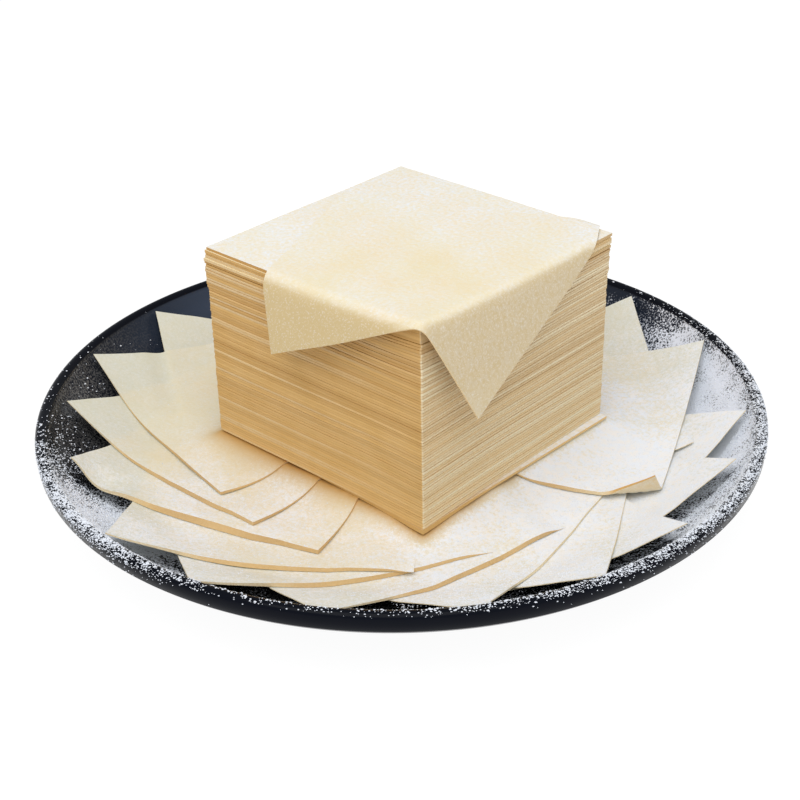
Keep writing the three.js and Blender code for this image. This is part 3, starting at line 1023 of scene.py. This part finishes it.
def add_loose():
    """The loose wrappers on top, each turned a little about the front corner."""
    waves = [wave_field(3, 40, 110) for _ in range(LOOSE_LAYERS + 1)]

    def level(layer, x, y):
        rise = CORNER_RISE * front_corner(x, y) * (1 + 0.06 * layer)
        return LOOSE_BOTTOM + layer * LOOSE_PITCH + LOOSE_WAVE * waves[layer](x, y) + rise

    for layer in range(LOOSE_LAYERS):
        across, along = square_grid(LOOSE_CELLS)
        turn = random.uniform(-LOOSE_TURN, LOOSE_TURN)
        stretch = 1 + SPREAD * (1 - layer / LOOSE_LAYERS) / HALF
        x, y = rotate((across - HALF) * stretch, (along + HALF) * stretch, turn)
        x = x + STACK_X + HALF + random.uniform(-LOOSE_SLIP, LOOSE_SLIP)
        y = y + STACK_Y - HALF + random.uniform(-LOOSE_SLIP, LOOSE_SLIP)
        lower = np.stack([x, y, level(layer, x, y)], -1)
        upper = np.stack([x, y, level(layer + 1, x, y) - LAYER_GAP], -1)
        tone, pale = layer_look(LOOSE_LAYERS - layer)
        rim = 0.5 * face_flour_and_highlight(across, along) + pale * off_corner(x, y)
        dust = (TOP_DUST if layer == LOOSE_LAYERS - 1 else LOOSE_DUST) * (1 + 0.1 * dust_patches(x, y))
        values = {"dust": dust, "fleck": 0.5 * dust, "tone": tone, "rim": rim}
        piece = add_sheet(f"loose_sheet_{layer + 1}", upper, lower, values)
        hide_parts(f"loose_wrapper_{layer + 1}")


# The draped wrapper

def add_drape():
    """The draped wrapper, flat on the stack and bent over its right, left and back edges."""
    across, along = square_grid(DRAPE_CELLS)
    pull = TIP_PULL * ((HALF + across) * (HALF - along) / WRAPPER_SIDE ** 2) ** 5
    pull_back = BACK_PULL * ((HALF + across) * (HALF + along) / WRAPPER_SIDE ** 2) ** 8
    flat_x, flat_y = rotate(across + pull, along - pull, DRAPE_TURN)
    flat_x, flat_y = flat_x + DRAPE_X - pull_back, flat_y + DRAPE_Y
    edge = HALF + DRAPE_PROUD
    right_out, right_down = bend_over(flat_x - edge, RIGHT_BEND)
    left_out, left_down = bend_over(-edge - flat_y, LEFT_BEND)
    back_out, back_down = bend_over(flat_y - edge, BACK_BEND)
    x = STACK_X + np.minimum(flat_x, edge) + right_out
    y = STACK_Y + np.clip(flat_y, -edge, edge) - left_out + back_out
    wave = DRAPE_WAVE * wave_field(4, 30, 90)(flat_x, flat_y)
    corner = 1.5 * CORNER_RISE * front_corner(x, y)
    z = DRAPE_BOTTOM + DRAPE_LIFT - right_down - left_down - back_down + wave + corner
    lower = np.stack([x, y, z], -1)
    upright = uprights(lower)
    level = smoothstep(upright[..., 2], 0.6, 1.0)
    on_right = smoothstep(flat_x - edge, -2, 6)
    clouds = 1 + 0.3 * wave_field(7, 18, 50)(flat_x, flat_y)
    by_back = np.maximum(smoothstep(along, 0, HALF), 0.5 * smoothstep(-across, HALF - 25, HALF))
    on_flap = FLAP_DUST * on_right * (1 - level)
    dust = DRAPE_DUST + on_flap + level * (LEVEL_DUST * clouds + BACK_DUST * by_back)
    shade = (1 - level) * (FLAP_SHADE - TIP_LIGHT * smoothstep(right_down, *TIP_DEPTHS))
    values = {"dust": dust, "fleck": 0.25, "shade": shade, "rim": 0.5}
    piece = add_sheet("draped_sheet", lower + upright * DRAPE_SHARE * SHEET, lower, values)
    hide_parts("draped_wrapper")


# Flour

def top_wrapper(x, y):
    """The number of the fan wrapper that lies on top at a point of the plan, or -1 on the plate."""
    top = np.full(np.shape(x), -1)
    for index, wrapper in enumerate(fan):
        inside = outside(wrapper, x, y) < -0.2
        if index == CURLED:
            inside &= past_fold(*in_wrapper(wrapper, x, y))[0] < 0
        top[inside] = index
    return top


def add_grains(name, x, y, z, radius):
    """Many small flattened grains as one piece."""
    corners = np.array([(1, 0, 0), (0, 1, 0), (-1, 0, 0), (0, -1, 0), (0, 0, 1), (0, 0, -1)], float)
    upper = [(side, (side + 1) % 4, 4) for side in range(4)]
    lower = [((side + 1) % 4, side, 5) for side in range(4)]
    sides = np.array(upper + lower)
    turn = random.uniform(0, math.pi / 2, len(x))[:, None]
    stretch = random.uniform(0.7, 1.3, (len(x), 6)) * radius[:, None]
    grain_x, grain_y = corners[:, 0] * stretch, corners[:, 1] * stretch
    spin_x = grain_x * np.cos(turn) - grain_y * np.sin(turn)
    spin_y = grain_x * np.sin(turn) + grain_y * np.cos(turn)
    points = np.stack([x[:, None] + spin_x, y[:, None] + spin_y,
                       z[:, None] + GRAIN_FLATNESS * (corners[:, 2] * stretch + 0.4 * radius[:, None])], -1)
    faces = (sides[None] + 6 * np.arange(len(x))[:, None, None]).reshape(-1, 3)
    return add_mesh(name, points.reshape(-1, 3), faces, [flour_white])


def grain_radii(count, usual, spread, smallest, largest):
    """Random radii about a usual one."""
    return np.clip(random.lognormal(math.log(usual), spread, count), smallest, largest)


def scatter(count, inner, outer):
    """Random points of the plan, even over a ring."""
    radius = np.sqrt(random.uniform(inner ** 2, outer ** 2, count))
    azimuth = random.uniform(-180, 180, count)
    return radius * np.cos(np.radians(azimuth)), radius * np.sin(np.radians(azimuth)), azimuth, radius


def add_lip_flour():
    """Grains on the lip's outer wall at the left and the right, fewer lower down."""
    azimuth = random.uniform(*LIP_SWEEP, LIP_POINTS)
    height = random.uniform(WIDEST_HEIGHT, RIM_HEIGHT - LIP_RADIUS / 2, LIP_POINTS)
    thinning = 0.06 + 0.94 * smoothstep(height, WIDEST_HEIGHT + 1.5, RIM_HEIGHT)
    share = hills(azimuth, *LIP_HILLS) * thinning
    kept = random.random(LIP_POINTS) < share
    way, height = np.radians(azimuth[kept]), height[kept]
    over_edge = np.maximum(height - RIM_HEIGHT + LIP_RADIUS, 0)
    reach = PLATE_RADIUS - LIP_RADIUS + np.sqrt(LIP_RADIUS ** 2 - over_edge ** 2)
    radius = grain_radii(len(way), *LIP_GRAINS)
    add_grains("flour_on_lip", reach * np.cos(way), reach * np.sin(way), height, radius)


def add_plate_flour():
    """Grains in clumps on the plate, where no wrapper covers it."""
    x, y, azimuth, reach = scatter(PLATE_POINTS, *PLATE_GRAIN_RADII)
    clump = 0.5 + 0.5 * np.clip(wave_field(8, 4, 14)(x, y), -1, 1)
    spread = hills(azimuth, *RIGHT_GRAIN_HILLS) + hills(azimuth, *LEFT_GRAIN_HILLS)
    share = spread * (0.35 + 0.65 * clump)
    kept = (random.random(len(x)) < share) & (top_wrapper(x, y) < 0)
    on_left = azimuth < SIDES_MEET
    for name, side, grains in (("left", on_left, LEFT_GRAINS), ("right", ~on_left, RIGHT_GRAINS)):
        chosen = np.flatnonzero(kept & side)[:MOST_GRAINS]
        radius = grain_radii(len(chosen), *grains)
        add_grains(f"flour_on_plate_{name}", x[chosen], y[chosen], plate_height(reach[chosen]), radius)


def add_fan_flour():
    """Grains on the fan, each on the wrapper that lies on top there."""
    x, y, _, _ = scatter(FAN_POINTS, *FAN_GRAIN_RADII)
    kept = (random.random(len(x)) < 0.5 * fan_dust(x, y) ** 2) & (from_stack(x, y) > 0.6)
    top = np.where(kept, top_wrapper(x, y), -1)
    places = [np.flatnonzero(top == index) for index in range(len(fan))]
    heights = np.concatenate([fan_height(index, x[at], y[at]) for index, at in enumerate(places)])
    order = np.concatenate(places)
    thin_out = len(order) // MOST_GRAINS + 1
    order, heights = order[::thin_out], heights[::thin_out]
    radius = grain_radii(len(order), *FAN_GRAINS)
    add_grains("flour_on_fan", x[order], y[order], heights, radius)


add_plate()
add_fan()
add_base()
add_stack()
add_loose()
add_drape()
add_plate_flour()
add_fan_flour()
add_lip_flour()


# The stage

def add_floor():
    """A wide pale floor that ends far outside the picture."""
    mesh = bpy.data.meshes.new("floor")
    signs = [(-1, -1), (1, -1), (1, 1), (-1, 1)]
    corners = [(FLOOR_HALF * x, FLOOR_HALF * y, FLOOR_LEVEL) for x, y in signs]
    mesh.from_pydata(corners, [], [(0, 1, 2, 3)])
    material, _, shader = new_material("pale_floor")
    shader.inputs["Base Color"].default_value = FLOOR_COLOUR
    shader.inputs["Roughness"].default_value = 0.9
    shader.inputs["Specular IOR Level"].default_value = 0.0
    shader.inputs["Emission Color"].default_value = (1, 1, 1, 1)
    shader.inputs["Emission Strength"].default_value = FLOOR_GLOW
    mesh.materials.append(material)
    floor = bpy.data.objects.new("floor", mesh)
    bpy.context.scene.collection.objects.link(floor)


def add_lamp():
    """One large round lamp above and in front."""
    light = bpy.data.lights.new("key", "AREA")
    light.shape = "DISK"
    light.size = LAMP_SIZE
    light.energy = LAMP_WATTS
    light.color = LAMP_COLOUR
    lamp = bpy.data.objects.new("key", light)
    lamp.location = LAMP_PLACE
    aim = Vector(LAMP_AIM) - Vector(LAMP_PLACE)
    lamp.rotation_euler = aim.to_track_quat("-Z", "Y").to_euler()
    bpy.context.scene.collection.objects.link(lamp)


def add_world():
    """An even sky, and colours shown as they are."""
    world = bpy.data.worlds.new("studio")
    world.use_nodes = True
    sky = world.node_tree.nodes["Background"]
    sky.inputs["Color"].default_value = SKY_COLOUR
    sky.inputs["Strength"].default_value = SKY_STRENGTH
    bpy.context.scene.world = world
    bpy.context.scene.view_settings.view_transform = "Standard"


def add_camera():
    """The picture's own view."""
    data = bpy.data.cameras.new("camera")
    data.lens = CAMERA_LENS
    data.sensor_width = CAMERA_SENSOR
    data.clip_start = CAMERA_NEAREST
    camera = bpy.data.objects.new("camera", data)
    turn = Matrix((CAMERA_RIGHT, CAMERA_UP, CAMERA_BACK)).transposed().to_4x4()
    camera.matrix_world = Matrix.Translation(Vector(CAMERA_PLACE) * MM) @ turn
    bpy.context.scene.collection.objects.link(camera)
    bpy.context.scene.camera = camera


add_floor()
add_lamp()
add_world()
add_camera()
